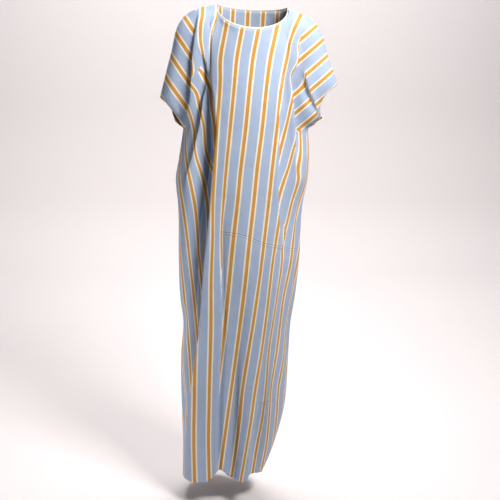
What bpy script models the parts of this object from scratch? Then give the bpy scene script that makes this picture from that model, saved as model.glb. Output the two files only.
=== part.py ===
"""Loose ankle-length boubou robe, worn open on a general figure: front and back, each cut
in one with its half of both short sleeves, and a narrow band round the scooped neck.

Metres, +Z up, front towards -Y.  The origin is between the shoulders, where the robe hangs.
Each panel is a sheet worked out on a grid: "across" runs 0 to 1 from the wearer's right side
(-X) to the left side (+X), and "down" runs 0 to 1 from the neck and overarm seam to the hem.
"""
import bpy
import numpy as np

CLOTH = 0.0015              # thickness of the cloth wall
SEAM_GAP = 0.0003           # clear gap between sewn pieces
NECK_POINT_GAP = 0.0018     # the seams open by this much at their very end, at the neck
SEAM_LAND = 0.0030          # flat strip of cloth beside a seam
SEAM_LINE = 0.008           # where the grid line of that strip is, as a share of the sheet
BAND_WIDTH = 0.0050         # neck band
BAND_START = 0.0006         # where the neck band starts above the panels' edge
BAND_EVENINGS = 3           # passes that even out the band's direction
FRONT, BACK = -1, 1         # which way each panel bulges along Y
FRONT_GRID = (40, 28)       # quads across and down
BACK_GRID = (32, 24)

UNDERARM_Z = -0.316         # height where the cuffs end and the side seams start
UNDERARM_DOWN = 0.22        # "down" value of that height
ARM_SHARE = 0.25            # share of the sheet's top edge that is one overarm seam

# neck opening: an ellipse seen from the front, lower in front than behind
NECK_MIDDLE_X = 0.0055
NECK_HALF_WIDTH = 0.0975
NECK_DROP = {FRONT: 0.065, BACK: -0.004}
NECK_REACH = {FRONT: 0.078, BACK: 0.062}

# overarm seam, from the neck point to the cuff's top corner
#            share  left x  left z  right x right z
OVERARM = ((0.00, -0.092,  0.016,  0.103,  0.004),
           (0.15, -0.135,  0.006,  0.136, -0.009),
           (0.28, -0.170, -0.010,  0.170, -0.026),
           (0.42, -0.195, -0.040,  0.194, -0.062),
           (0.64, -0.214, -0.110,  0.210, -0.114),
           (1.00, -0.246, -0.229,  0.241, -0.196))

# how far each cuff edge swings out from a straight line, down its length
#                     share  -X side  +X side
CUFF_EDGE = {FRONT: ((0.00, 0.000, 0.000), (0.20, 0.008, 0.005), (0.36, 0.006, 0.000),
                     (0.57, 0.004, 0.000), (0.68, 0.002, 0.005), (0.78, 0.001, 0.014),
                     (0.85, 0.000, 0.022), (0.93, 0.000, 0.013), (1.00, 0.000, 0.000)),
             BACK: ((0.00, 0.000, 0.000), (0.36, 0.004, 0.000), (0.57, 0.008, 0.000),
                    (0.68, 0.013, 0.006), (0.78, 0.015, 0.016), (0.90, 0.014, 0.030),
                    (1.00, 0.000, 0.000))}
SLEEVE_ROUND = 0.045
SHOULDER_ROUND = 0.7        # 0 gives a sharp fold along the overarm seam
NECK_CORNER = 0.30          # share of the yoke over which the neck points' corners die out
CUFF_REACH = 0.13           # share of the width over which a cuff's swing dies out

# level sections of the body below the underarm
#            height  left x  right x front  back
SECTIONS = ((-0.316, -0.184, 0.160, 0.120, 0.104),
            (-0.396, -0.197, 0.164, 0.122, 0.100),
            (-0.455, -0.207, 0.161, 0.123, 0.098),
            (-0.516, -0.202, 0.149, 0.124, 0.104),
            (-0.690, -0.202, 0.139, 0.126, 0.112),
            (-0.800, -0.199, 0.127, 0.124, 0.112),
            (-0.863, -0.192, 0.117, 0.123, 0.112),
            (-0.960, -0.199, 0.111, 0.123, 0.114),
            (-1.135, -0.199, 0.097, 0.124, 0.120),
            (-1.230, -0.197, 0.070, 0.124, 0.125),
            (-1.340, -0.199, 0.030, 0.124, 0.128))
SQUARENESS = 0.82           # below 1, the section is fuller than an ellipse

# hem: its level at the side seams, how it rises or falls between them, and where it is lifted
HEM_Z = -1.325
HEM_BOW = {FRONT: 0.008, BACK: -0.010}
#             x      lift   left   right width
HEM_LIFTS = ((-0.097, 0.040, 0.022, 0.034),
             (0.020, 0.014, 0.030, 0.030))

# folds, each a trough along the cloth that is steeper on one side:
# heights of its two ends, x at top, middle and bottom, depth, width to its left and right
#                 name            top     bottom   x top   x mid   x low  depth  left   right
FRONT_FOLDS = (("main left",    -0.020, -1.200, -0.095, -0.120, -0.200, 0.026, 0.050, 0.008),
               ("left sleeve",  -0.015, -0.330, -0.148, -0.160, -0.182, 0.024, 0.016, 0.022),
               ("left chest",   -0.090, -0.700, -0.125, -0.132, -0.165, 0.010, 0.012, 0.014),
               ("right sleeve", -0.060, -0.430,  0.138,  0.122,  0.138, 0.024, 0.010, 0.022),
               ("right valley", -0.230, -0.900,  0.092,  0.086,  0.052, 0.014, 0.008, 0.045),
               ("low centre",   -0.700, -1.500, -0.012, -0.035, -0.050, 0.024, 0.034, 0.018),
               ("low left",     -1.000, -1.500, -0.090, -0.100, -0.100, 0.020, 0.010, 0.022),
               ("low right",    -0.800, -1.450,  0.060,  0.030,  0.000, 0.012, 0.016, 0.020))
BACK_FOLDS = (("left sleeve",   -0.020, -0.380, -0.150, -0.155, -0.172, 0.022, 0.016, 0.022),
              ("right sleeve",  -0.030, -0.380,  0.145,  0.135,  0.140, 0.022, 0.018, 0.020),
              ("left back",     -0.250, -1.450, -0.105, -0.125, -0.140, 0.020, 0.020, 0.040),
              ("middle back",   -0.350, -1.500, -0.010, -0.030, -0.060, 0.016, 0.034, 0.026),
              ("right back",    -0.250, -1.450,  0.095,  0.060,  0.020, 0.020, 0.040, 0.020))
FOLD_FADE = 0.22            # share of a fold's height over which it comes in and dies out
SEAM_QUIET = 0.07           # share of the width beside a side seam without folds


def smooth(stations, values, at):
    """Curve through the values, its slope at each station taken from the two neighbours."""
    x, y = np.asarray(stations, float), np.asarray(values, float)
    slope = np.gradient(y, x)
    i = np.clip(np.searchsorted(x, at) - 1, 0, len(x) - 2)
    h = x[i + 1] - x[i]
    s = np.clip((at - x[i]) / h, 0.0, 1.0)
    start = (1 + 2 * s) * (1 - s) ** 2 * y[i] + s * (1 - s) ** 2 * h * slope[i]
    return start + s * s * (3 - 2 * s) * y[i + 1] + s * s * (s - 1) * h * slope[i + 1]


def ramp(value):
    """0 to 1 with level ends."""
    v = np.clip(value, 0.0, 1.0)
    return v * v * (3 - 2 * v)


def top_edge(side, across):
    """Overarm seam, half of the neck, overarm seam: the sheet's edge where down is 0."""
    share, left_x, left_z, right_x, right_z = np.array(OVERARM).T
    left = across < ARM_SHARE
    right = across > 1 - ARM_SHARE
    arm = np.where(left, 1 - across / ARM_SHARE, (across - 1 + ARM_SHARE) / ARM_SHARE)
    arm = np.clip(arm, 0.0, 1.0)
    turn = np.pi * np.clip((across - ARM_SHARE) / (1 - 2 * ARM_SHARE), 0.0, 1.0)
    rise = 0.5 + 0.5 * np.cos(turn)
    x = NECK_MIDDLE_X - NECK_HALF_WIDTH * np.cos(turn)
    y = side * NECK_REACH[side] * np.sin(turn)
    z = rise * left_z[0] + (1 - rise) * right_z[0] - NECK_DROP[side] * np.sin(turn) ** 0.9
    x = np.where(left, smooth(share, left_x, arm), np.where(right, smooth(share, right_x, arm), x))
    z = np.where(left, smooth(share, left_z, arm), np.where(right, smooth(share, right_z, arm), z))
    return x, np.where(left | right, 0.0, y), z


def section(side, across, z):
    """Point of the level section at height z: half of a full, slightly square ellipse."""
    height, left, right, front, back = np.array(SECTIONS)[::-1].T
    low, high = smooth(height, left, z), smooth(height, right, z)
    depth = smooth(height, front if side == FRONT else back, z)
    turn = np.pi * across
    x = 0.5 * (low + high) - 0.5 * (high - low) * np.cos(turn)
    return x, side * depth * np.sin(turn) ** SQUARENESS


def hem_height(side, across):
    """Height of the hem: level at the side seams, lifted at the two folds in front."""
    x, _ = section(side, across, np.full_like(across, HEM_Z))
    between = np.sin(np.pi * across)
    z = HEM_Z + HEM_BOW[side] * between
    if side == FRONT:
        for middle, lift, left, right in HEM_LIFTS:
            width = np.where(x < middle, left, right)
            z = z + lift * np.exp(-((x - middle) / width) ** 2) * ramp(3 * between)
    return z


def base_sheet(side, across, down):
    """The sheet before its folds: sleeves and yoke above the underarm, sections below it."""
    top_x, top_y, top_z = top_edge(side, across)
    arm_x, arm_y = section(side, across, np.full_like(across, UNDERARM_Z))
    s = np.clip(down / UNDERARM_DOWN, 0.0, 1.0)
    edge = np.minimum(across, 1 - across)
    near_cuff = np.exp(-(edge / CUFF_REACH) ** 2)
    share, low_out, high_out = np.array(CUFF_EDGE[side]).T
    swing = np.where(across < 0.5, -smooth(share, low_out, s), smooth(share, high_out, s))
    upper_x = top_x + (arm_x - top_x) * s + swing * near_cuff
    # the corner at each neck point is rounded off a short way down the shoulder
    eased_y = side * NECK_REACH[side] * np.sin(np.pi * across) ** 3
    rounded = ramp(s / NECK_CORNER)
    start_y = top_y * (1 - rounded) + eased_y * rounded
    upper_y = start_y + (arm_y - start_y) * np.sin(0.5 * np.pi * s)
    upper_y = upper_y + side * SLEEVE_ROUND * np.sin(np.pi * s ** 0.8) * near_cuff
    # over the arms the sheet leaves the seam level, so the shoulder is round
    roundness = 1 + SHOULDER_ROUND * ramp((ARM_SHARE + 0.05 - edge) / 0.10)
    upper_z = top_z + (UNDERARM_Z - top_z) * s ** roundness

    drop = np.clip((down - UNDERARM_DOWN) / (1 - UNDERARM_DOWN), 0.0, 1.0)
    lower_z = UNDERARM_Z + (hem_height(side, across) - UNDERARM_Z) * drop
    lower_x, lower_y = section(side, across, lower_z)
    is_upper = down < UNDERARM_DOWN
    return np.stack([np.where(is_upper, upper_x, lower_x), np.where(is_upper, upper_y, lower_y),
                     np.where(is_upper, upper_z, lower_z)], axis=-1)


def fold_depth(folds, x, z):
    """Sum of the troughs at a place, each a bell curve with its own width on either side."""
    total = np.zeros_like(x)
    for _, top, bottom, x_top, x_mid, x_low, depth, left, right in folds:
        s = np.clip((top - z) / (top - bottom), 0.0, 1.0)
        middle = (1 - s) * (1 - 2 * s) * x_top + 4 * s * (1 - s) * x_mid + s * (2 * s - 1) * x_low
        width = np.where(x < middle, left, right)
        strength = ramp(s / FOLD_FADE) * ramp((1 - s) / FOLD_FADE)
        total = total + depth * strength * np.exp(-((x - middle) / width) ** 2)
    return total


def stations(quads, both_ends):
    """Grid lines from 0 to 1, with one more close to the start (and to the end) for the seams."""
    lines = np.linspace(0, 1, quads + 1)
    lines = np.concatenate([[0.0, SEAM_LINE], lines[1:]])
    return np.concatenate([lines[:-1], [1 - SEAM_LINE, 1.0]]) if both_ends else lines


def sheet(side, folds, quads_across, quads_down):
    """Grid of points of one panel, its folds pressed in along the normal, seams kept flat."""
    across, down = np.meshgrid(stations(quads_across, True), stations(quads_down, False),
                               indexing="ij")
    points = base_sheet(side, across, down)
    along = np.gradient(points, axis=0)
    below = np.gradient(points, axis=1)
    normal = np.cross(below, along) * -side
    normal /= np.linalg.norm(normal, axis=-1, keepdims=True) + 1e-12
    edge = np.minimum(across, 1 - across)
    quiet = ramp(edge / SEAM_QUIET) * ramp(down / SEAM_QUIET)
    points = points - normal * (fold_depth(folds, points[..., 0], points[..., 2]) * quiet)[..., None]

    # beside each seam a narrow strip lies flat along Y and stops half a gap from the seam
    overarm = (across[:, 0] <= ARM_SHARE) | (across[:, 0] >= 1 - ARM_SHARE)
    points[overarm, 1] = points[overarm, 0]
    points[overarm, 0, 1] = side * SEAM_GAP / 2
    points[overarm, 1, 1] = side * SEAM_LAND
    neck_points = np.isclose(edge[:, 0], ARM_SHARE)
    points[neck_points, 0, 1] = side * NECK_POINT_GAP / 2
    sewn = down[0] >= UNDERARM_DOWN
    for outer, inner in ((0, 1), (-1, -2)):
        points[inner, sewn] = points[outer, sewn]
        points[outer, sewn, 1] = side * SEAM_GAP / 2
        points[inner, sewn, 1] = side * SEAM_LAND
    return points


def neck_band(front, back):
    """Closed strip that carries the panels on above the neckline, a seam gap away from them.

    Its edge is the panels' own edge, taken once round the neck.  It runs on in the direction
    in which each panel arrives there, evened out round the ring so that it turns smoothly.
    """
    edge, arrival = [], []
    for panel, order in ((front, 1), (back, -1)):
        first = round(ARM_SHARE * (panel.shape[0] - 3)) + 1
        rim, below = panel[first:-first, 0][::order], panel[first:-first, 2][::order]
        edge.append(rim[:-1])
        arrival.append((rim - below)[:-1])
    edge, arrival = np.vstack(edge), np.vstack(arrival)
    arrival /= np.linalg.norm(arrival, axis=-1, keepdims=True)
    for _ in range(BAND_EVENINGS):
        arrival = 0.25 * np.roll(arrival, 1, 0) + 0.5 * arrival + 0.25 * np.roll(arrival, -1, 0)
    arrival /= np.linalg.norm(arrival, axis=-1, keepdims=True)
    start = edge + arrival * BAND_START
    return np.stack([start + arrival * BAND_WIDTH, start], axis=1)


def add_cloth(name, points, material, ring=False):
    """Mesh object from a grid of points, given its thickness inwards by Solidify."""
    wide, tall = points.shape[:2]
    index = np.arange(wide * tall).reshape(wide, tall)
    if ring:
        index = np.vstack([index, index[:1]])
    faces = np.stack([index[:-1, :-1], index[:-1, 1:], index[1:, 1:], index[1:, :-1]], -1)
    mesh = bpy.data.meshes.new(name)
    mesh.from_pydata(points.reshape(-1, 3).tolist(), [], faces.reshape(-1, 4).tolist())
    mesh.shade_smooth()
    mesh.materials.append(material)
    cloth = bpy.data.objects.new(name, mesh)
    collection.objects.link(cloth)
    wall = cloth.modifiers.new("cloth wall", "SOLIDIFY")
    wall.thickness = CLOTH
    wall.offset = -1.0


def cloth_material(name, rgb, roughness):
    """Plain Principled cloth."""
    material = bpy.data.materials.new(name)
    material.use_nodes = True
    surface = material.node_tree.nodes["Principled BSDF"]
    surface.inputs["Base Color"].default_value = (*rgb, 1.0)
    surface.inputs["Roughness"].default_value = roughness
    surface.inputs["Metallic"].default_value = 0.0
    return material


for leftover in list(bpy.data.objects):
    bpy.data.objects.remove(leftover)
collection = bpy.data.collections.new("boubou_robe")
bpy.context.scene.collection.children.link(collection)

striped = cloth_material("striped cotton", (0.33, 0.43, 0.62), 0.75)
cream = cloth_material("cream edging", (0.80, 0.76, 0.66), 0.70)

front = sheet(FRONT, FRONT_FOLDS, *FRONT_GRID)
back = sheet(BACK, BACK_FOLDS, *BACK_GRID)
add_cloth("front", front, striped)
add_cloth("back", back[::-1], striped)
add_cloth("neck_band", neck_band(front, back), cream, ring=True)
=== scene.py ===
"""Ankle-length boubou robe in striped cotton, hanging open as if on a figure.

Metres, +Z up, the front towards -Y, the origin between the shoulders where the robe hangs.
The front and the back are each one cut of cloth with its half of both short sleeves.
"""
import math

import bpy
import numpy as np
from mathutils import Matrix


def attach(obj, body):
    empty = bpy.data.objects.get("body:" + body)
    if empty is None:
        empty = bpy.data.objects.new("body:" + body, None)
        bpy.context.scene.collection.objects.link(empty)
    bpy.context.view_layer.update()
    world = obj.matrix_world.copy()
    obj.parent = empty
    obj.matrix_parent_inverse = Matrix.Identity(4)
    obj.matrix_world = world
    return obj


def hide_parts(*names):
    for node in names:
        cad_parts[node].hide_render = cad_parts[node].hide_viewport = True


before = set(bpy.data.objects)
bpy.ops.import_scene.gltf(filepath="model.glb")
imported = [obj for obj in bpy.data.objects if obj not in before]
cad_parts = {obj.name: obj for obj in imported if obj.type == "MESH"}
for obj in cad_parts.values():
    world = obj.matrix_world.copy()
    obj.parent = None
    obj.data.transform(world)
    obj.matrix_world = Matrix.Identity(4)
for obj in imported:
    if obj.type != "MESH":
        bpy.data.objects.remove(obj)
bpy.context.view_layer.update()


# ---------------------------------------------------------------------------------------
# Front.  One panel of striped cotton with its half of both sleeves, sewn to the back over the
# arms and down the sides.  The spare width has slid to the wearer's right, where it hangs in a
# long rolled pleat with smaller ones behind it; the left sleeve falls over a deep recess.
# ---------------------------------------------------------------------------------------
# A panel is a sheet on a grid: "across" runs 0 to 1 from the wearer's right side (-X) to the
# left side (+X), "down" runs 0 to 1 from the neck and overarm seam to the hem.
CLOTH = 0.0015              # thickness of the cotton as sewn
SEAM_GAP = 0.0003           # clear gap where two pieces are sewn edge to edge
NECK_POINT_GAP = 0.0018     # the seams open by this much at their very end, at the neck
FRONT, BACK = -1, 1         # which way a panel bulges along Y
UNDERARM_Z = -0.316         # height where the cuffs end and the side seams start
UNDERARM_DOWN = 0.22        # "down" value of that height
ARM_SHARE = 0.25            # share of a panel's top edge that is one overarm seam
CUFF_REACH = 0.13           # share of the width over which a cuff's swing dies out
SLEEVE_ROUND = 0.045
SHOULDER_ROUND = 0.7        # 0 would give a sharp fold along the overarm seam
NECK_CORNER = 0.30          # share of the yoke over which the neck points' corners die out
SQUARENESS = 0.82           # below 1, a section is fuller than an ellipse
NECK_MIDDLE_X = 0.0055
NECK_HALF_WIDTH = 0.0975
NECK_DROP = {FRONT: 0.065, BACK: 0.008}
NECK_REACH = {FRONT: 0.078, BACK: 0.062}
NECK_EVENED = 0.11          # reach of the evening out round each neck point
NECK_BLUR = 0.011           # width of its bell curve
SEAM_QUIET = 0.05           # share of the panel beside a seam in which the folds die out
# overarm seams from the neck points to the cuffs' top corners; left is -X in these tables
#            share  left x  left z  right x right z
OVERARM = ((0.00, -0.092,  0.016,  0.103,  0.004),
           (0.15, -0.135,  0.006,  0.136, -0.009),
           (0.28, -0.170, -0.010,  0.170, -0.026),
           (0.42, -0.195, -0.040,  0.194, -0.062),
           (0.64, -0.214, -0.110,  0.210, -0.114),
           (1.00, -0.246, -0.229,  0.241, -0.196))
# how far each cuff edge swings out from the straight, down its length
#             share  right  left      (wearer's)
CUFF_EDGE = {FRONT: ((0.00, 0.000, 0.000), (0.20, 0.008, 0.005), (0.36, 0.006, 0.000),
                     (0.57, 0.004, 0.000), (0.68, 0.002, 0.005), (0.78, 0.001, 0.014),
                     (0.85, 0.000, 0.022), (0.93, 0.000, 0.013), (1.00, 0.000, 0.000)),
             BACK: ((0.00, 0.000, 0.000), (0.36, 0.004, 0.000), (0.57, 0.008, 0.000),
                    (0.68, 0.013, 0.006), (0.78, 0.015, 0.016), (0.90, 0.014, 0.030),
                    (1.00, 0.000, 0.000))}
# level sections of the body below the underarm
#            height  left x  right x front  back
SECTIONS = ((-0.316, -0.184, 0.160, 0.120, 0.104),
            (-0.396, -0.197, 0.164, 0.122, 0.100),
            (-0.455, -0.207, 0.161, 0.123, 0.098),
            (-0.516, -0.202, 0.149, 0.124, 0.104),
            (-0.690, -0.202, 0.139, 0.126, 0.112),
            (-0.800, -0.199, 0.127, 0.124, 0.112),
            (-0.863, -0.192, 0.117, 0.123, 0.112),
            (-0.960, -0.199, 0.111, 0.123, 0.114),
            (-1.135, -0.199, 0.097, 0.124, 0.120),
            (-1.230, -0.197, 0.070, 0.124, 0.125),
            (-1.340, -0.199, 0.030, 0.124, 0.128))
HEM_Z = -1.325              # at the side seams
HEM_BOW = {FRONT: 0.008, BACK: -0.010}
#             x      lift   left   right width
HEM_LIFTS = ((-0.097, 0.040, 0.022, 0.034),
             (0.020, 0.014, 0.030, 0.030))


def ramp(value):
    """0 to 1 with level ends."""
    v = np.clip(value, 0.0, 1.0)
    return v * v * (3 - 2 * v)


def smooth(stations, values, at):
    """Curve through the values, its slope at each station taken from the two neighbours."""
    x, y = np.asarray(stations, float), np.asarray(values, float)
    slope = np.gradient(y, x)
    i = np.clip(np.searchsorted(x, at) - 1, 0, len(x) - 2)
    h = x[i + 1] - x[i]
    s = np.clip((at - x[i]) / h, 0.0, 1.0)
    start = (1 + 2 * s) * (1 - s) ** 2 * y[i] + s * (1 - s) ** 2 * h * slope[i]
    return start + s * s * (3 - 2 * s) * y[i + 1] + s * s * (s - 1) * h * slope[i + 1]


def by_height(rows, z):
    """Every column of a table whose first column is the height, read off at heights z."""
    table = np.array(rows, float)[::-1].T
    return [smooth(table[0], column, z) for column in table[1:]]


def top_edge(side, across):
    """Overarm seam, half of the neck, overarm seam: the panel's edge where down is 0."""
    share, left_x, left_z, right_x, right_z = np.array(OVERARM).T
    left = across < ARM_SHARE
    right = across > 1 - ARM_SHARE
    arm = np.where(left, 1 - across / ARM_SHARE, (across - 1 + ARM_SHARE) / ARM_SHARE)
    arm = np.clip(arm, 0.0, 1.0)
    turn = np.pi * np.clip((across - ARM_SHARE) / (1 - 2 * ARM_SHARE), 0.0, 1.0)
    rise = 0.5 + 0.5 * np.cos(turn)
    x = NECK_MIDDLE_X - NECK_HALF_WIDTH * np.cos(turn)
    y = side * NECK_REACH[side] * np.sin(turn)
    z = rise * left_z[0] + (1 - rise) * right_z[0] - NECK_DROP[side] * np.sin(turn) ** 0.9
    x = np.where(left, smooth(share, left_x, arm), np.where(right, smooth(share, right_x, arm), x))
    z = np.where(left, smooth(share, left_z, arm), np.where(right, smooth(share, right_z, arm), z))
    return x, np.where(left | right, 0.0, y), z


def section(side, across, z):
    """Point of the level section at height z: half of a full, slightly square ellipse."""
    low, high, front, back = by_height(SECTIONS, z)
    turn = np.pi * across
    x = 0.5 * (low + high) - 0.5 * (high - low) * np.cos(turn)
    return x, side * (front if side == FRONT else back) * np.sin(turn) ** SQUARENESS


def hem_height(side, across):
    """Height of the hem: level at the side seams, lifted at the two folds in front."""
    x, _ = section(side, across, np.full_like(across, HEM_Z))
    between = np.sin(np.pi * across)
    z = HEM_Z + HEM_BOW[side] * between
    if side == FRONT:
        for middle, lift, left, right in HEM_LIFTS:
            width = np.where(x < middle, left, right)
            z = z + lift * np.exp(-((x - middle) / width) ** 2) * ramp(3 * between)
    return z


def base_sheet(side, across, down):
    """The panel before its folds: sleeves and yoke above the underarm, level sections below.

    Above, each thread runs from the top edge to the underarm section along a quarter sine in
    depth, so the shoulder is round.  The cuff edges bow, and the sleeves are rounded out.
    """
    top_x, top_y, top_z = top_edge(side, across)
    arm_x, arm_y = section(side, across, np.full_like(across, UNDERARM_Z))
    s = np.clip(down / UNDERARM_DOWN, 0.0, 1.0)
    edge = np.minimum(across, 1 - across)
    near_cuff = np.exp(-(edge / CUFF_REACH) ** 2)
    share, right_out, left_out = np.array(CUFF_EDGE[side]).T
    swing = np.where(across < 0.5, -smooth(share, right_out, s), smooth(share, left_out, s))
    upper_x = top_x + (arm_x - top_x) * s + swing * near_cuff
    eased_y = side * NECK_REACH[side] * np.sin(np.pi * across) ** 3
    rounded = ramp(s / NECK_CORNER)
    start_y = top_y * (1 - rounded) + eased_y * rounded
    upper_y = start_y + (arm_y - start_y) * np.sin(0.5 * np.pi * s)
    upper_y = upper_y + side * SLEEVE_ROUND * np.sin(np.pi * s ** 0.8) * near_cuff
    roundness = 1 + SHOULDER_ROUND * ramp((ARM_SHARE + 0.05 - edge) / 0.10)
    upper_z = top_z + (UNDERARM_Z - top_z) * s ** roundness

    drop = np.clip((down - UNDERARM_DOWN) / (1 - UNDERARM_DOWN), 0.0, 1.0)
    lower_z = UNDERARM_Z + (hem_height(side, across) - UNDERARM_Z) * drop
    lower_x, lower_y = section(side, across, lower_z)
    is_upper = down < UNDERARM_DOWN
    return np.stack([np.where(is_upper, upper_x, lower_x), np.where(is_upper, upper_y, lower_y),
                     np.where(is_upper, upper_z, lower_z)], axis=-1)


def pleat_depth(x, z, pleat):
    """How far the cloth drops beside the rolled edge of a pleat.

    Beside the edge line, on the side the recess is on, the drop is reached within "steep" and
    dies out softly over "soft"; on the other side a low roll of "lip" stands proud.
    """
    line, depth = by_height(pleat["rows"], z)
    top, bottom = pleat["rows"][0][0], pleat["rows"][-1][0]
    depth = np.where((z > top) | (z < bottom), 0.0, np.maximum(depth, 0.0))
    t = (x - line) * pleat["recess"]
    flank = ramp(t / pleat["steep"] + 0.5)
    fade = np.exp(-(np.maximum(t - pleat["steep"], 0.0) / pleat["soft"]) ** 2)
    roll = np.exp(-((t + 1.6 * pleat["steep"]) / (1.5 * pleat["steep"])) ** 2)
    return depth * flank * fade - pleat["lip"] * depth * roll


def trough_depth(x, z, trough):
    """A soft valley: depth * exp(-((x - line) / width)^2), left width towards -X of its line."""
    line, depth = by_height(trough["rows"], z)
    top, bottom = trough["rows"][0][0], trough["rows"][-1][0]
    depth = np.where((z > top) | (z < bottom), 0.0, np.maximum(depth, 0.0))
    width = np.where(x < line, trough["left"], trough["right"])
    return depth * np.exp(-((x - line) / width) ** 2)


DEEP_PLEAT = 0.030          # a pleat this deep draws the grid four times as close
GATHER_WIDTH = 0.014        # share of the panel's width over which it does so


def gathered(side, across, down, pleats):
    """Across values of the grid, row by row, drawn closer together at each deep pleat's edge.

    density = 1 + 3 * depth / deep * exp(-(distance / width)^2), summed over the pleats.
    """
    sheet = base_sheet(side, across, down)
    even = across[:, 0]
    density = np.ones_like(across)
    for pleat in pleats:
        line, depth = by_height(pleat["rows"], sheet[..., 2])
        past = (sheet[..., 0] > line).argmax(axis=0)
        row = np.arange(across.shape[1])
        z = sheet[past, row, 2]
        inside = (z < pleat["rows"][0][0]) & (z > pleat["rows"][-1][0]) & (past > 0)
        height = np.where(inside, np.maximum(depth[past, row], 0.0), 0.0) / DEEP_PLEAT
        density += 3 * height * np.exp(-((across - even[past]) / GATHER_WIDTH) ** 2)
    total = np.concatenate([np.zeros_like(density[:1]),
                            np.cumsum(0.5 * (density[1:] + density[:-1]), axis=0)])
    rows = [np.interp(even, column / column[-1], even) for column in total.T]
    return np.stack(rows, axis=1)


def panel(side, pleats, troughs, wide, tall):
    """Grid of points of a panel: the base sheet with its pleats and valleys pressed in.

    They are pressed in along the sheet's own normal and die out at the side seams and along
    the neck and overarm seams.  The outer rows stop half a seam gap from the other panel.
    Returns the points, the unfolded sheet's points, and the across and down values.
    """
    across, down = np.meshgrid(np.linspace(0, 1, wide + 1), np.linspace(0, 1, tall + 1),
                               indexing="ij")
    across = gathered(side, across, down, pleats)
    flat = base_sheet(side, across, down)
    normal = np.cross(np.gradient(flat, axis=1), np.gradient(flat, axis=0)) * -side
    normal /= np.linalg.norm(normal, axis=-1, keepdims=True) + 1e-12
    # around each neck point the sheet's depth is evened out with that of the cloth near it
    for corner in (ARM_SHARE, 1 - ARM_SHARE):
        neck_x, _, neck_z = flat[np.abs(across[:, 0] - corner).argmin(), 0]
        away = np.hypot(flat[..., 0] - neck_x, flat[..., 2] - neck_z)
        near = away < NECK_EVENED
        x, y, z = flat[near].T
        apart = (x[:, None] - x) ** 2 + (z[:, None] - z) ** 2
        weight = np.exp(-apart / (2 * NECK_BLUR ** 2))
        share = ramp((NECK_EVENED - away[near]) / 0.05) * ramp(down[near] / 0.012)
        flat[near, 1] = y + share * (weight @ y / weight.sum(axis=1) - y)
    x, z = flat[..., 0], flat[..., 2]
    depth = sum(pleat_depth(x, z, p) for p in pleats) + sum(trough_depth(x, z, t) for t in troughs)
    edge = np.minimum(across, 1 - across)
    quiet = ramp(edge / SEAM_QUIET) * ramp(down / SEAM_QUIET)
    points = flat - normal * (depth * quiet)[..., None]
    overarm = edge[:, 0] <= ARM_SHARE
    points[overarm, 0, 1] = side * SEAM_GAP / 2
    points[np.isclose(edge[:, 0], ARM_SHARE), 0, 1] = side * NECK_POINT_GAP / 2
    sewn = down[0] >= UNDERARM_DOWN
    points[0, sewn, 1] = points[-1, sewn, 1] = side * SEAM_GAP / 2
    return points, flat, across, down


def cloth_length(points, axis):
    """Length of cloth from the start of the grid, measured along one of its directions."""
    step = np.linalg.norm(np.diff(points, axis=axis), axis=-1)
    start = np.zeros_like(np.take(step, [0], axis=axis))
    return np.concatenate([start, np.cumsum(step, axis=axis)], axis=axis)


def edge_distances(points, across, down, press):
    """For every point, in metres: how far it is from the hem or cuff, from the nearest sewn
    seam, and how far above the nearest crosswise pressed crease."""
    wide, tall = cloth_length(points, 0), cloth_length(points, 1)
    side = np.minimum(wide, wide[-1:] - wide)
    hem = tall[:, -1:] - tall
    is_sleeve = down < UNDERARM_DOWN
    turned = np.where(is_sleeve, np.minimum(hem, side), hem)
    overarm = np.minimum(across, 1 - across) <= ARM_SHARE
    sewn = np.where(is_sleeve, np.where(overarm, tall, 1.0), side)
    return np.stack([turned, sewn, press], -1)


def add_grid(name, points, attributes, material, ring=False):
    """Mesh object from a grid of points, with its thickness turned inwards by Solidify.

    attributes holds a vector for every point under each name, for the materials to read.
    """
    wide, tall = points.shape[:2]
    index = np.arange(wide * tall).reshape(wide, tall)
    if ring:
        index = np.vstack([index, index[:1]])
    faces = np.stack([index[:-1, :-1], index[:-1, 1:], index[1:, 1:], index[1:, :-1]], -1)
    mesh = bpy.data.meshes.new(name)
    mesh.from_pydata(points.reshape(-1, 3).tolist(), [], faces.reshape(-1, 4).tolist())
    for key, values in attributes.items():
        layer = mesh.attributes.new(key, "FLOAT_VECTOR", "POINT")
        layer.data.foreach_set("vector", np.ascontiguousarray(values, np.float32).ravel())
    mesh.shade_smooth()
    mesh.materials.append(material)
    piece = bpy.data.objects.new(name, mesh)
    bpy.context.scene.collection.objects.link(piece)
    solid = piece.modifiers.new("cloth wall", "SOLIDIFY")
    solid.thickness = CLOTH
    solid.offset = -1.0
    return piece


def linear(code):
    """Linear RGBA of an sRGB hex colour."""
    channels = [int(code[i:i + 2], 16) / 255 for i in (1, 3, 5)]
    return [c / 12.92 if c <= 0.04045 else ((c + 0.055) / 1.055) ** 2.4 for c in channels] + [1.0]


def add_node(tree, kind, inputs=(), **settings):
    """Node with its settings, its inputs given as values or as another node's output."""
    node = tree.nodes.new(kind)
    for key, value in settings.items():
        setattr(node, key, value)
    for key, value in dict(inputs).items():
        if isinstance(value, bpy.types.NodeSocket):
            tree.links.new(value, node.inputs[key])
        else:
            node.inputs[key].default_value = value
    return node


# Striped cotton: a plain-woven shirting, its stripes woven into the warp as mustard lines
# edged in cream on chambray blue.  Each panel carries the stripe's phase as a turning arrow,
# so the pattern is unbroken between repeats and follows the cloth into its folds.
REPEAT = 0.043              # stripe to stripe
MUSTARD = 0.108             # half width of the mustard line, as a share of the repeat
CREAM = 0.205               # outer edge of the cream lines beside it

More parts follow.
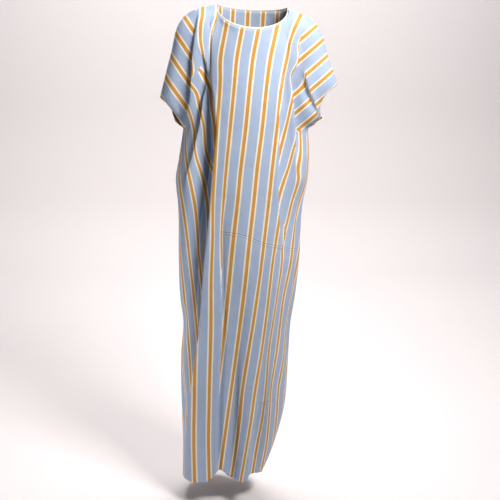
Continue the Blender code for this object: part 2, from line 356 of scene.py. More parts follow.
striped = bpy.data.materials.new("striped cotton")
striped.use_nodes = True
tree = striped.node_tree
surface = tree.nodes["Principled BSDF"]
arrow = add_node(tree, "ShaderNodeAttribute", attribute_name="stripe_phase")
parts = add_node(tree, "ShaderNodeSeparateXYZ", {0: arrow.outputs["Vector"]})
angle = add_node(tree, "ShaderNodeMath", {0: parts.outputs["Y"], 1: parts.outputs["X"]},
                 operation="ARCTAN2")
size = add_node(tree, "ShaderNodeMath", {0: angle.outputs[0]}, operation="ABSOLUTE")
# 0 in the middle of a mustard line, 1 half-way to the next
share = add_node(tree, "ShaderNodeMath", {0: size.outputs[0], 1: 1 / math.pi},
                 operation="MULTIPLY")
bands = add_node(tree, "ShaderNodeValToRGB", {0: share.outputs[0]})
stops = bands.color_ramp.elements
for place, code in ((2 * MUSTARD - 0.02, "#CC923F"), (2 * MUSTARD + 0.02, "#EFE6D4"),
                    (2 * CREAM - 0.02, "#EDE5D6"), (2 * CREAM + 0.03, "#A4B4CE")):
    stop = stops[0] if place < 0.2 else stops.new(place)
    stop.position = place
    stop.color = linear(code)
stops.remove(stops[-1])
# slubs: threads a little thicker or paler than their neighbours, long along the cloth
place = add_node(tree, "ShaderNodeTexCoord")
along = add_node(tree, "ShaderNodeMapping", {"Vector": place.outputs["Object"],
                                             "Scale": (700.0, 700.0, 24.0)})
slub = add_node(tree, "ShaderNodeTexNoise", {"Vector": along.outputs[0], "Scale": 1.0,
                                             "Detail": 2.0})
tone = add_node(tree, "ShaderNodeMapRange", {"Value": slub.outputs["Fac"], "From Min": 0.3,
                                             "From Max": 0.7, "To Min": 0.95, "To Max": 1.03})
cloth_colour = add_node(tree, "ShaderNodeMixRGB", {"Fac": 1.0, "Color1": bands.outputs[0],
                                                   "Color2": tone.outputs[0]},
                        blend_type="MULTIPLY")
# turned hems, seams and the crosswise pressed creases stand or sink by under a millimetre
edges = add_node(tree, "ShaderNodeAttribute", attribute_name="edge_distance")
edge = add_node(tree, "ShaderNodeSeparateXYZ", {0: edges.outputs["Vector"]})
# the hem is double for 18 mm, with its stitching sunk 3 mm from the turned edge
hem = add_node(tree, "ShaderNodeMapRange", {"Value": edge.outputs["X"], "From Max": 0.03})
hem_shape = add_node(tree, "ShaderNodeValToRGB", {0: hem.outputs[0]})
seam = add_node(tree, "ShaderNodeMapRange", {"Value": edge.outputs["Y"], "From Max": 0.03})
seam_shape = add_node(tree, "ShaderNodeValToRGB", {0: seam.outputs[0]})
press = add_node(tree, "ShaderNodeMapRange", {"Value": edge.outputs["Z"], "From Min": -0.015,
                                              "From Max": 0.015})
press_shape = add_node(tree, "ShaderNodeValToRGB", {0: press.outputs[0]})
for node, levels in ((hem_shape, ((0.0, 0.70), (0.46, 0.72), (0.50, 0.50), (0.54, 0.72),
                                  (0.60, 0.72), (0.64, 0.50))),
                     (seam_shape, ((0.0, 0.20), (0.05, 0.50), (0.40, 0.56), (0.46, 0.50))),
                     (press_shape, ((0.0, 0.50), (0.36, 0.50), (0.46, 0.80), (0.54, 0.20),
                                    (0.64, 0.60), (0.74, 0.50)))):
    stops = node.color_ramp.elements
    stops.remove(stops[-1])
    for where, level in levels:
        stop = stops[0] if where == 0.0 else stops.new(where)
        stop.color = (level, level, level, 1.0)
relief = add_node(tree, "ShaderNodeMath", {0: hem_shape.outputs[0], 1: seam_shape.outputs[0]},
                  operation="ADD")
relief = add_node(tree, "ShaderNodeMath", {0: relief.outputs[0], 1: press_shape.outputs[0]},
                  operation="ADD")
sewing = add_node(tree, "ShaderNodeBump", {"Height": relief.outputs[0], "Distance": 0.0025,
                                           "Strength": 1.0})
# worn creases: soft dents a few centimetres across, and the fine weave on top
dents = add_node(tree, "ShaderNodeTexNoise", {"Vector": place.outputs["Object"], "Scale": 18.0,
                                              "Detail": 3.0, "Roughness": 0.45})
crumple = add_node(tree, "ShaderNodeBump", {"Height": dents.outputs["Fac"], "Distance": 0.008,
                                            "Strength": 0.45, "Normal": sewing.outputs[0]})
weave = add_node(tree, "ShaderNodeBump", {"Height": slub.outputs["Fac"], "Distance": 0.0004,
                                          "Strength": 0.5, "Normal": crumple.outputs[0]})
tree.links.new(cloth_colour.outputs[0], surface.inputs["Base Color"])
tree.links.new(weave.outputs[0], surface.inputs["Normal"])
surface.inputs["Roughness"].default_value = 0.82
surface.inputs["Specular IOR Level"].default_value = 0.3
surface.inputs["Sheen Weight"].default_value = 0.12
surface.inputs["Sheen Roughness"].default_value = 0.5

# each pleat: recess -1 lies towards -X of its edge and +1 towards +X; rows are the height,
# the edge's x and the drop beside it
FRONT_PLEATS = (
    {"name": "main pleat", "recess": -1, "steep": 0.0040, "soft": 0.026, "lip": 0.12, "rows": (
        (-0.021, -0.084, 0.004), (-0.077, -0.100, 0.007), (-0.134, -0.103, 0.008),
        (-0.194, -0.105, 0.009), (-0.238, -0.100, 0.017), (-0.277, -0.095, 0.022),
        (-0.311, -0.092, 0.026), (-0.368, -0.097, 0.032), (-0.475, -0.107, 0.032),
        (-0.583, -0.118, 0.032), (-0.671, -0.130, 0.031), (-0.777, -0.139, 0.030),
        (-0.904, -0.149, 0.026), (-1.048, -0.170, 0.020), (-1.137, -0.182, 0.010),
        (-1.250, -0.188, 0.000))},
    {"name": "shoulder tuck", "recess": -1, "steep": 0.0035, "soft": 0.014, "lip": 0.10, "rows": (
        (-0.100, -0.132, 0.000), (-0.127, -0.124, 0.005),
        (-0.160, -0.116, 0.008), (-0.194, -0.107, 0.007), (-0.217, -0.102, 0.005),
        (-0.238, -0.100, 0.000))},
    {"name": "right armhole", "recess": -1, "steep": 0.0040, "soft": 0.030, "lip": 0.10, "rows": (
        (-0.002, -0.138, 0.000), (-0.017, -0.140, 0.004), (-0.071, -0.149, 0.008),
        (-0.125, -0.156, 0.011), (-0.186, -0.161, 0.013), (-0.247, -0.170, 0.012),
        (-0.271, -0.178, 0.008), (-0.311, -0.181, 0.000))},
    {"name": "upper side pleat", "recess": -1, "steep": 0.0040, "soft": 0.026, "lip": 0.1, "rows": (
        (-0.135, -0.115, 0.000), (-0.191, -0.121, 0.010), (-0.230, -0.132, 0.016),
        (-0.277, -0.140, 0.021), (-0.335, -0.152, 0.022), (-0.375, -0.160, 0.020),
        (-0.409, -0.168, 0.015), (-0.444, -0.177, 0.009), (-0.490, -0.183, 0.000))},
    {"name": "lower side pleat", "recess": -1, "steep": 0.0040, "soft": 0.022, "lip": 0.1, "rows": (
        (-0.251, -0.116, 0.000), (-0.329, -0.119, 0.010), (-0.408, -0.126, 0.016),
        (-0.488, -0.136, 0.019), (-0.542, -0.148, 0.019), (-0.597, -0.154, 0.016),
        (-0.671, -0.160, 0.012), (-0.777, -0.167, 0.009), (-0.827, -0.170, 0.006),
        (-0.861, -0.176, 0.000))},
    {"name": "narrow pleat", "recess": 1, "steep": 0.0035, "soft": 0.014, "lip": 0.10, "rows": (
        (-0.488, -0.075, 0.000), (-0.638, -0.081, 0.006), (-0.861, -0.082, 0.008),
        (-1.063, -0.095, 0.009), (-1.181, -0.098, 0.011), (-1.320, -0.098, 0.012))},
    {"name": "left chest edge", "recess": 1, "steep": 0.0050, "soft": 0.034, "lip": 0.10, "rows": (
        (-0.129, 0.103, 0.000), (-0.173, 0.089, 0.006), (-0.212, 0.081, 0.011),
        (-0.264, 0.079, 0.014), (-0.316, 0.080, 0.016), (-0.515, 0.080, 0.018),
        (-0.597, 0.086, 0.011), (-0.638, 0.089, 0.004), (-0.680, 0.092, 0.000))},
    {"name": "left armhole", "recess": 1, "steep": 0.0050, "soft": 0.022, "lip": 0.10, "rows": (
        (0.020, 0.180, 0.000), (-0.012, 0.164, 0.000), (-0.044, 0.147, 0.001),
        (-0.078, 0.134, 0.006), (-0.139, 0.129, 0.014), (-0.155, 0.124, 0.018),
        (-0.170, 0.114, 0.024), (-0.212, 0.116, 0.027), (-0.251, 0.120, 0.027),
        (-0.304, 0.126, 0.027), (-0.357, 0.132, 0.018), (-0.398, 0.135, 0.008),
        (-0.452, 0.138, 0.000))},
    {"name": "left sleeve crease", "recess": -1, "steep": 0.0040, "soft": 0.014, "lip": 0.1, "rows": (
        (-0.160, 0.142, 0.000), (-0.175, 0.147, 0.005), (-0.212, 0.156, 0.009),
        (-0.236, 0.167, 0.009), (-0.260, 0.178, 0.006), (-0.281, 0.189, 0.000))},
)
FRONT_TROUGHS = (
    {"name": "beside the main pleat", "left": 0.026, "right": 0.036, "rows": (
        (-0.400, -0.064, 0.000), (-0.600, -0.070, 0.010), (-0.860, -0.076, 0.014),
        (-1.100, -0.088, 0.014), (-1.330, -0.094, 0.010))},
    {"name": "side hollow", "left": 0.030, "right": 0.022, "rows": (
        (-0.120, -0.122, 0.000), (-0.220, -0.122, 0.010), (-0.370, -0.126, 0.020),
        (-0.600, -0.142, 0.022), (-0.800, -0.158, 0.016), (-0.980, -0.170, 0.000))},
    {"name": "left side hollow", "left": 0.026, "right": 0.030, "rows": (
        (-0.300, 0.128, 0.000), (-0.420, 0.126, 0.014), (-0.600, 0.118, 0.020),
        (-0.850, 0.098, 0.014), (-1.000, 0.085, 0.008), (-1.200, 0.060, 0.000))},
    {"name": "low centre", "left": 0.034, "right": 0.016, "rows": (
        (-0.700, -0.014, 0.000), (-0.863, -0.024, 0.020), (-0.980, -0.030, 0.034),
        (-1.120, -0.034, 0.043), (-1.330, -0.040, 0.046))},
    {"name": "low left", "left": 0.020, "right": 0.022, "rows": (
        (-1.000, -0.150, 0.000), (-1.100, -0.148, 0.008), (-1.200, -0.140, 0.012),
        (-1.330, -0.135, 0.014))},
    {"name": "low right", "left": 0.016, "right": 0.020, "rows": (
        (-0.800, 0.056, 0.000), (-0.950, 0.046, 0.010), (-1.100, 0.030, 0.018),
        (-1.330, 0.012, 0.020))},
)
# where the stripes run.  Courses are counted from the wearer's right; between two courses
# the cloth lies as flat as it looks, and beside a pleat the count starts afresh
#          height  1st     pitch  narrow  3rd     4th     5th     6th   (x of each course)
CENTRE = ((0.020, -0.052, 0.046, -0.006, 0.038, 0.085, 0.156, 0.198),
          (-0.056, -0.065, 0.045, -0.021, 0.022, 0.070, 0.117, 0.159),
          (-0.134, -0.078, 0.043, -0.035, 0.007, 0.053, 0.097, 0.139),
          (-0.186, -0.078, 0.039, -0.040, 0.001, 0.046, 0.086, 0.127),
          (-0.316, -0.087, 0.035, -0.053, -0.012, 0.032, 0.071, 0.108),
          (-0.421, -0.093, 0.031, -0.064, -0.025, 0.019, 0.059, 0.098),
          (-0.502, -0.098, 0.027, -0.071, -0.033, 0.011, 0.051, 0.088),
          (-0.610, -0.100, 0.0225, -0.078, -0.045, -0.001, 0.039, 0.071),
          (-0.721, -0.105, 0.031, -0.082, -0.056, -0.012, 0.026, 0.056),
          (-0.833, -0.107, 0.040, -0.082, -0.067, -0.025, 0.010, 0.045),
          (-1.034, -0.113, 0.038, -0.093, -0.092, -0.051, -0.021, 0.015),
          (-1.211, -0.117, 0.037, -0.099, -0.114, -0.076, -0.038, -0.011),
          (-1.330, -0.115, 0.037, -0.098, -0.130, -0.092, -0.056, -0.030))
# the same beside the left chest edge
#             height  edge    5th     6th    7th    8th    9th    10th
LEFT_SIDE = ((0.020, 0.156, 0.156, 0.205, 0.247, 0.289, 0.331, 0.373),
             (-0.044, 0.122, 0.122, 0.171, 0.213, 0.255, 0.298, 0.340),
             (-0.077, 0.110, 0.110, 0.137, 0.169, 0.211, 0.253, 0.296),
             (-0.140, 0.096, 0.096, 0.129, 0.160, 0.192, 0.224, 0.255),
             (-0.168, 0.091, 0.091, 0.112, 0.140, 0.171, 0.203, 0.235),
             (-0.220, 0.081, 0.081, 0.117, 0.149, 0.181, 0.212, 0.244),
             (-0.258, 0.079, 0.076, 0.108, 0.139, 0.171, 0.202, 0.234),
             (-0.295, 0.080, 0.068, 0.100, 0.130, 0.161, 0.192, 0.224),
             (-0.342, 0.079, 0.050, 0.088, 0.127, 0.148, 0.169, 0.190),
             (-0.371, 0.079, 0.045, 0.081, 0.118, 0.140, 0.159, 0.178),
             (-0.421, 0.080, 0.035, 0.069, 0.104, 0.133, 0.144, 0.160),
             (-0.461, 0.080, 0.027, 0.055, 0.089, 0.134, 0.145, 0.157),
             (-0.515, 0.082, 0.016, 0.042, 0.074, 0.121, 0.147, 0.166),
             (-0.638, 0.089, 0.003, 0.034, 0.067, 0.088, 0.120, 0.151),
             (-0.665, 0.036, 0.000, 0.032, 0.063, 0.088, 0.116, 0.148),
             (-0.777, 0.019, -0.015, 0.018, 0.051, 0.074, 0.094, 0.126),
             (-0.933, -0.006, -0.039, -0.006, 0.032, 0.052, 0.075, 0.105),
             (-1.034, -0.021, -0.051, -0.021, 0.015, 0.046, 0.059, 0.082),
             (-1.122, -0.028, -0.063, -0.028, 0.003, 0.036, 0.054, 0.076),
             (-1.211, -0.038, -0.076, -0.038, -0.011, 0.020, 0.047, 0.068),
             (-1.330, -0.056, -0.092, -0.056, -0.030, 0.004, 0.027, 0.050))
# on the wearer's right: the edge the count starts from, the count there, and the spacing
#              height  edge    count   pitch
RIGHT_SIDE = ((0.020, -0.132, -1.100, 0.041),
              (-0.044, -0.144, -1.680, 0.041),
              (-0.072, -0.148, -2.100, 0.038),
              (-0.088, -0.134, -2.000, 0.038),
              (-0.127, -0.124, -2.200, 0.039),
              (-0.160, -0.116, -2.650, 0.046),
              (-0.194, -0.107, -2.870, 0.050),
              (-0.217, -0.102, -2.950, 0.041),
              (-0.251, -0.098, -2.850, 0.034),
              (-0.311, -0.092, -2.900, 0.029),
              (-0.368, -0.097, -3.150, 0.028),
              (-0.435, -0.103, -4.150, 0.034),
              (-0.502, -0.110, -4.750, 0.035),
              (-0.638, -0.126, -5.400, 0.028),
              (-0.777, -0.139, -6.300, 0.027),
              (-0.924, -0.154, -7.300, 0.028),
              (-1.034, -0.168, -8.000, 0.023),
              (-1.151, -0.184, -9.000, 0.023),
              (-1.330, -0.190, -9.900, 0.023))
# on the right shoulder, from the main pleat's edge
#            height  count   pitch
SHOULDER = ((0.020, 0.000, 0.042),
            (-0.031, 0.050, 0.040),
            (-0.069, 0.050, 0.031),
            (-0.127, 0.100, 0.018),
            (-0.191, -0.050, 0.016),
            (-0.217, -0.100, 0.016))
# where the shoulder tuck cuts the stripes off on the sleeve's side
#               x       z
TUCK_LINE = ((-0.160, -0.190), (-0.147, -0.166), (-0.134, -0.148), (-0.121, -0.130),
             (-0.107, -0.095))


# the direction in which the stripes are counted on each sleeve, their spacing as it looks
# from the front, and the count that it gives at the origin
#                  degrees  spacing  start      (wearer's right, then left)
SLEEVE_STRIPES = ((34.4, 0.0438, 1.577),
                  (-49.9, 0.0397, 2.264))


def sleeve_counts(x, z):
    """Stripe count on the right and on the left sleeve, where the cloth's length slants out:
    start + (x * cos(direction) + z * sin(direction)) / spacing."""
    return [start + (x * math.cos(math.radians(turn)) + z * math.sin(math.radians(turn))) / step
            for turn, step, start in SLEEVE_STRIPES]


def arrow_of(count):
    """Unit arrow that turns once for every stripe repeat."""
    turn = 2 * np.pi * count
    return np.stack([np.cos(turn), np.sin(turn), np.zeros_like(turn)], -1)


SWAP_STRIP = 0.0016         # width over which one region's stripes give way to the next's
FLANK_FOOT = 0.002          # how far behind a pleat's edge its flank ends


def swap(first, second, t):
    """first where t is negative and second where it is positive, over a narrow strip."""
    share = ramp(t / SWAP_STRIP + 0.5)[..., None]
    return first * (1 - share) + second * share


def beside(rows, x, z, first_count):
    """Stripe count read between the courses of a table, and carried on past its ends."""
    courses = by_height(rows, z)
    count = first_count + (x - courses[0]) / (courses[1] - courses[0])
    for i in range(1, len(courses) - 1):
        step = first_count + i + (x - courses[i]) / np.maximum(courses[i + 1] - courses[i], 0.004)
        count = np.where(x > courses[i], step, count)
    return count


def flank_drop(flat, pleat):
    """Stripe repeats used up by the cloth that goes down a pleat's flank: drop / repeat."""
    x, z = flat[..., 0], flat[..., 2]
    line, depth = by_height(pleat["rows"], z)
    top, bottom = pleat["rows"][0][0], pleat["rows"][-1][0]
    depth = np.where((z > top) | (z < bottom), 0.0, np.maximum(depth, 0.0))
    reached = ramp((x - line) * pleat["recess"] / pleat["steep"] + 0.5)
    return pleat["recess"] * depth * reached / REPEAT


CALM_LENGTH = 0.040         # cloth over which the stripes' wander is evened out
CALM_PASSES = 120


def run_on(count, length, share):
    """Past the turn of the side, the count grows with the length of cloth, not with x.

    count = count at the turn + length past it / repeat, and its wander down the robe is
    evened out on the way.
    """
    column = round(share * (len(count) - 1))
    past = length - length[column]
    calm = count[column].copy()
    for _ in range(CALM_PASSES):
        calm[1:-1] = 0.25 * calm[:-2] + 0.5 * calm[1:-1] + 0.25 * calm[2:]
    calmed = ramp(np.abs(past) / CALM_LENGTH)
    beyond = count[column] * (1 - calmed) + calm * calmed + past / REPEAT
    index = np.arange(len(count))[:, None]
    return np.where((index - column) * (share - 0.5) > 0, beyond, count)


def edge_of(pleat, z):
    """x of a pleat's edge at heights z, carried straight on above and below its rows."""
    heights = [row[0] for row in pleat["rows"]]
    return by_height(pleat["rows"], np.clip(z, heights[-1], heights[0]))[0]


PLEAT_NAMED = {pleat["name"]: pleat for pleat in FRONT_PLEATS}
RIGHT_TURN, LEFT_TURN = 0.11, 0.85      # "across" values where the cloth turns to the sides
TUCK_END_Z = -0.225                     # the shoulder's cloth is not seen below this height
HIPS_Z = -0.490                         # the narrow pleat starts here
CREASE_TOP_Z = -0.150
CREASE_TAKES = 0.52                     # repeats that the left sleeve's crease takes up


def front_stripes(points, flat):
    """Turning arrow of the stripes on the front, region by region from the wearer's right.

    Where a region ends at a pleat's edge, its stripes go on down the flank to the foot.
    """
    x, z = points[..., 0], points[..., 2]
    main, tuck, armhole, chest_edge, sleeve_edge, crease = (PLEAT_NAMED[name] for name in (
        "main pleat", "shoulder tuck", "right armhole", "left chest edge", "left armhole",
        "left sleeve crease"))
    main_x, armhole_x, sleeve_x, crease_x = (edge_of(pleat, z) for pleat in (
        main, armhole, sleeve_edge, crease))
    first, pitch, narrow, third, fourth = by_height(CENTRE, z)[:5]
    side_edge, side_count, side_pitch = by_height(RIGHT_SIDE, z)
    shoulder_z = np.clip(z, SHOULDER[-1][0], SHOULDER[0][0])
    shoulder_count, shoulder_pitch = by_height(SHOULDER, shoulder_z)
    far_edge = by_height(LEFT_SIDE, z)[0]

    right_sleeve, left_sleeve = sleeve_counts(x, z)
    side = side_count + (x - side_edge) / side_pitch
    shoulder = shoulder_count + (x - main_x) / shoulder_pitch
    shoulder = np.where(shoulder < -1, -1 + (shoulder + 1) * shoulder_pitch / REPEAT, shoulder)
    # the narrow pleat takes cloth up from the hips down
    pleated = ramp((HIPS_Z - z) / 0.100)
    chest_pitch = (narrow - first) * (1 - pleated) + pitch * pleated
    chest = 1 + (x - first) / np.where(x < first, REPEAT, chest_pitch)
    middle = beside([(row[0],) + row[4:] for row in CENTRE], x, z, 3)
    before_third = (third - narrow) * (1 - pleated) + (fourth - third) * pleated
    middle = np.where(x < third, 3 - (third - x) / before_third, middle)
    far = beside([(row[0],) + row[2:] for row in LEFT_SIDE], x, z, 5)
    # the left sleeve's crease takes up cloth, more and more of it downwards
    tucked = CREASE_TAKES * ramp((CREASE_TOP_Z - z) / 0.06) * ramp((crease_x - x) / 0.004 + 0.5)
    left_sleeve = left_sleeve - tucked

    length = cloth_length(flat[..., :2], 0)
    side = run_on(side, length, RIGHT_TURN) + flank_drop(flat, armhole)
    far = run_on(far, length, LEFT_TURN) + flank_drop(flat, sleeve_edge)
    shoulder = shoulder + flank_drop(flat, tuck) + flank_drop(flat, armhole)
    chest = chest + flank_drop(flat, main)
    middle = middle + flank_drop(flat, chest_edge)

    x = flat[..., 0]
    above_underarm = z > UNDERARM_Z
    arrow = arrow_of(right_sleeve)
    arrow = swap(arrow, arrow_of(side), np.where(above_underarm, x - armhole_x + FLANK_FOOT, 1.0))
    # the shoulder's cloth ends at the tuck: a slanting line on the sleeve's side, then its edge
    tuck_x, tuck_z = np.array(TUCK_LINE).T
    past_tuck = np.maximum(x - side_edge + FLANK_FOOT, z - smooth(tuck_x, tuck_z, x))
    past_tuck = np.minimum(past_tuck, x - armhole_x + FLANK_FOOT)
    arrow = swap(arrow, arrow_of(shoulder), np.where(z > TUCK_END_Z, past_tuck, -1.0))
    arrow = swap(arrow, arrow_of(chest), x - main_x + FLANK_FOOT)
    arrow = swap(arrow, arrow_of(middle), x - narrow - FLANK_FOOT)
    arrow = swap(arrow, arrow_of(far), x - far_edge - FLANK_FOOT)
    return swap(arrow, arrow_of(left_sleeve), np.where(z > UNDERARM_Z - 0.010,
                                                       x - sleeve_x - FLANK_FOOT, -1.0))


points, flat, across, down = panel(FRONT, FRONT_PLEATS, FRONT_TROUGHS, 208, 220)
# crosswise creases, pressed in while the robe lay folded: a long one that dips towards the
# wearer's left, and a short one at either side
#               x       z
PRESS_LINES = (((-0.080, -0.592), (-0.045, -0.594), (-0.005, -0.602), (0.022, -0.615),
                (0.050, -0.625), (0.076, -0.632), (0.108, -0.647), (0.135, -0.654)),
               ((0.030, -1.083), (0.050, -1.079), (0.074, -1.076)),
               ((-0.196, -0.636), (-0.182, -0.634), (-0.166, -0.638)))
press = np.ones_like(across)
for line in PRESS_LINES:
    line_x, line_z = np.array(line).T
    above = points[..., 2] - smooth(line_x, line_z, points[..., 0])
    on_line = (points[..., 0] > line_x[0]) & (points[..., 0] < line_x[-1])
    press = np.where(on_line & (np.abs(above) < np.abs(press)), above, press)
front = add_grid("robe_front", points, {
    "stripe_phase": front_stripes(points, flat),
    "edge_distance": edge_distances(points, across, down, press)}, striped)
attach(front, "root")
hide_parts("front")
front_points = points


# ---------------------------------------------------------------------------------------
# Back.  The same cut with a high neckline.  It hangs in three long soft folds from the
# shoulder blades, and the sleeves fall over a recess on either side.
# ---------------------------------------------------------------------------------------
BACK_PLEATS = (
    {"name": "right armhole", "recess": -1, "steep": 0.005, "soft": 0.020, "lip": 0.1, "rows": (
        (-0.020, -0.142, 0.000), (-0.100, -0.148, 0.010), (-0.200, -0.152, 0.016),
        (-0.270, -0.162, 0.012), (-0.330, -0.180, 0.000))},
    {"name": "left armhole", "recess": 1, "steep": 0.005, "soft": 0.022, "lip": 0.1, "rows": (
        (-0.030, 0.138, 0.000), (-0.100, 0.132, 0.010), (-0.200, 0.128, 0.016),
        (-0.270, 0.138, 0.012), (-0.330, 0.156, 0.000))},
    {"name": "right long fold", "recess": -1, "steep": 0.006, "soft": 0.036, "lip": 0.1, "rows": (
        (-0.240, -0.100, 0.000), (-0.450, -0.106, 0.010), (-0.700, -0.116, 0.018),
        (-1.000, -0.122, 0.020), (-1.350, -0.132, 0.018))},
    {"name": "left long fold", "recess": 1, "steep": 0.006, "soft": 0.034, "lip": 0.1, "rows": (
        (-0.240, 0.088, 0.000), (-0.450, 0.078, 0.010), (-0.700, 0.062, 0.018),
        (-1.000, 0.044, 0.020), (-1.350, 0.014, 0.018))},
)
BACK_TROUGHS = (
    {"name": "middle fold", "left": 0.030, "right": 0.026, "rows": (
        (-0.350, -0.010, 0.000), (-0.600, -0.016, 0.010), (-0.900, -0.028, 0.016),
        (-1.350, -0.050, 0.018))},
)
points, flat, across, down = panel(BACK, BACK_PLEATS, BACK_TROUGHS, 184, 200)


BACK_START = 0.25           # stripe count down the middle of the back
BACK_EASE = 0.97            # repeats at the hem to the length of cloth that one takes at the neck


def back_stripes(points, flat):
    """Turning arrow of the stripes on the back: lengthwise on the body, counted from the middle
    along each row, and slanting on the sleeves as they do in front."""
    length = cloth_length(points[..., :2], 0)
    middle = length[len(length) // 2][None]
    eased = np.linspace(1.0, BACK_EASE, points.shape[1])[None]
    body = (length - middle) / REPEAT * eased + BACK_START
    right_sleeve, left_sleeve = sleeve_counts(points[..., 0], points[..., 2])
    x, z = flat[..., 0], flat[..., 2]
    right_edge, left_edge = (edge_of(pleat, z) for pleat in BACK_PLEATS[:2])
    is_sleeve = z > UNDERARM_Z
    past_right = np.where(is_sleeve, x - right_edge + FLANK_FOOT, 1.0)
    past_left = np.where(is_sleeve, x - left_edge - FLANK_FOOT, -1.0)
    arrow = swap(arrow_of(right_sleeve), arrow_of(body), past_right)
    return swap(arrow, arrow_of(left_sleeve), past_left)


back = add_grid("robe_back", points[::-1], {
    "stripe_phase": back_stripes(points, flat)[::-1],
    "edge_distance": edge_distances(points, across, down, np.ones_like(across))[::-1]}, striped)
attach(back, "root")
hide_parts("back")
back_points = points


# ---------------------------------------------------------------------------------------
# Neck band.  A bias strip of cream cotton folded over the raw neckline and topstitched, so
# it is double and its outer edge is rounded.
# ---------------------------------------------------------------------------------------
cream = bpy.data.materials.new("cream cotton binding")
cream.use_nodes = True
tree = cream.node_tree
surface = tree.nodes["Principled BSDF"]
surface.inputs["Base Color"].default_value = linear("#F2EADB")
surface.inputs["Roughness"].default_value = 0.75
surface.inputs["Sheen Weight"].default_value = 0.15
place = add_node(tree, "ShaderNodeTexCoord")
grain = add_node(tree, "ShaderNodeTexNoise", {"Vector": place.outputs["Object"], "Scale": 900.0})
bump = add_node(tree, "ShaderNodeBump", {"Height": grain.outputs["Fac"], "Distance": 0.0003})
tree.links.new(bump.outputs[0], surface.inputs["Normal"])


BAND_WIDTH = 0.0050
BAND_START = 0.0006         # where the band starts above the panels' edge
ARRIVAL_ROW = 6             # grid row of a panel from which its direction at the edge is taken
ARRIVAL_PASSES = 60         # passes that even out the band's direction
CORNER_PASSES = 8           # passes that even out its far edge


def binding(front, back, width, start):
    """Closed strip that carries both panels on above the neckline.

    Its edge is the panels' own edge taken once round the neck, and it runs on in the
    direction in which each panel arrives there, evened out round the ring.  Its far edge is
    evened too, so that it turns the corners at the neck points softly.
    """
    edge, arrival = [], []
    for cloth, order in ((front, 1), (back, -1)):
        count = cloth.shape[0] - 1
        first = round(ARM_SHARE * count)
        rim, below = cloth[first:-first, 0][::order], cloth[first:-first, ARRIVAL_ROW][::order]
        edge.append(rim[:-1])
        arrival.append((rim - below)[:-1])
    edge, arrival = np.vstack(edge), np.vstack(arrival)
    arrival /= np.linalg.norm(arrival, axis=-1, keepdims=True)
    for _ in range(ARRIVAL_PASSES):
        arrival = 0.25 * np.roll(arrival, 1, 0) + 0.5 * arrival + 0.25 * np.roll(arrival, -1, 0)
    arrival /= np.linalg.norm(arrival, axis=-1, keepdims=True)
    near, far = edge + arrival * start, edge + arrival * (start + width)
    for _ in range(CORNER_PASSES):
        far = 0.25 * np.roll(far, 1, 0) + 0.5 * far + 0.25 * np.roll(far, -1, 0)
    return near, far - near


rim, reach = binding(front_points, back_points, BAND_WIDTH, BAND_START)
steps = np.linspace(1, 0, 5)
points = rim[:, None] + reach[:, None] * steps[None, :, None]
band = add_grid("neck_binding", points, {}, cream, ring=True)
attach(band, "root")
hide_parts("neck_band")


# ---------------------------------------------------------------------------------------
# Stage: a pale sweep, the camera, soft studio light from the upper right and a weak fill on
# the side away from it.
# ---------------------------------------------------------------------------------------
pale = bpy.data.materials.new("pale paper")
pale.use_nodes = True
tree = pale.node_tree
surface = tree.nodes["Principled BSDF"]
surface.inputs["Base Color"].default_value = linear("#F4EDED")
surface.inputs["Roughness"].default_value = 0.9
# its back is clear, so that it never stands between the robe and the light or a viewer
geometry = add_node(tree, "ShaderNodeNewGeometry")
clear = add_node(tree, "ShaderNodeBsdfTransparent")
either = add_node(tree, "ShaderNodeMixShader", {0: geometry.outputs["Backfacing"],
                                                1: surface.outputs[0], 2: clear.outputs[0]})
tree.links.new(either.outputs[0], tree.nodes["Material Output"].inputs["Surface"])
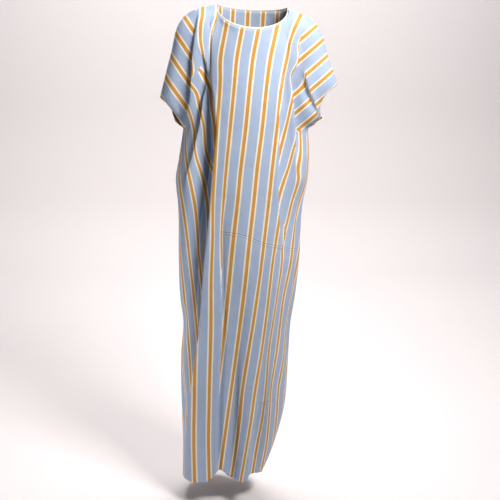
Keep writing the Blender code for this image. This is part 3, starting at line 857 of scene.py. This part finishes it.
# the sweep's profile, its depth and height: a floor below the hem that curves up into a wall
profile = [(-0.6, -1.39), (1.0, -1.39), (1.6, -1.33), (2.0, -1.15), (2.2, -0.8), (2.25, -0.3),
           (2.25, 2.2)]
verts = [(x, y, z) for x in (-4.0, 4.0) for y, z in profile]
n = len(profile)
faces = [(i, i + n, i + n + 1, i + 1) for i in range(n - 1)]
mesh = bpy.data.meshes.new("sweep")
mesh.from_pydata(verts, [], faces)
mesh.shade_smooth()
mesh.materials.append(pale)
sweep = bpy.data.objects.new("sweep", mesh)
bpy.context.scene.collection.objects.link(sweep)


def add_light(name, place, target, size, power, colour, spread):
    """Square area light at a place, turned towards a target, its beam spread in degrees."""
    lamp = bpy.data.lights.new(name, "AREA")
    lamp.size = size
    lamp.energy = power
    lamp.color = colour
    lamp.spread = math.radians(spread)
    light = bpy.data.objects.new(name, lamp)
    bpy.context.scene.collection.objects.link(light)
    dx, dy, dz = (t - p for t, p in zip(target, place))
    light.location = place
    light.rotation_euler = (math.atan2(math.hypot(dx, dy), -dz), 0.0, math.atan2(-dx, dy))


add_light("key softbox", (0.90, -1.20, 0.80), (0.0, 0.0, -0.34), 0.6, 15.8, (1.0, 0.985, 0.97),
          100.0)
add_light("fill card", (-1.5, -0.5, -0.9), (-0.15, 0.0, -0.85), 0.6, 1.2, (1.0, 1.0, 1.0), 60.0)
add_light("backdrop light", (0.0, 0.9, 2.4), (0.0, 2.2, -0.6), 2.0, 110.0, (1.0, 1.0, 1.0), 180.0)
world = bpy.data.worlds.new("studio")
world.use_nodes = True
tree = world.node_tree
sky = tree.nodes["Background"]
sky.inputs["Color"].default_value = linear("#FBFBFF")
rays = add_node(tree, "ShaderNodeLightPath")
# weak as a light, and pale where it is seen beyond the paper
level = add_node(tree, "ShaderNodeMapRange", {"Value": rays.outputs["Is Camera Ray"],
                                              "To Min": 0.05, "To Max": 0.80})
tree.links.new(level.outputs[0], sky.inputs["Strength"])
bpy.context.scene.world = world

lens = bpy.data.cameras.new("camera")
lens.lens = 64.6
lens.sensor_width = 36.0
camera = bpy.data.objects.new("camera", lens)
bpy.context.scene.collection.objects.link(camera)
camera.location = (0.0, -2.5, -0.20)
camera.rotation_euler = (math.radians(90 - 10.4), 0.0, 0.0)
bpy.context.scene.camera = camera
bpy.context.scene.view_settings.view_transform = "Standard"
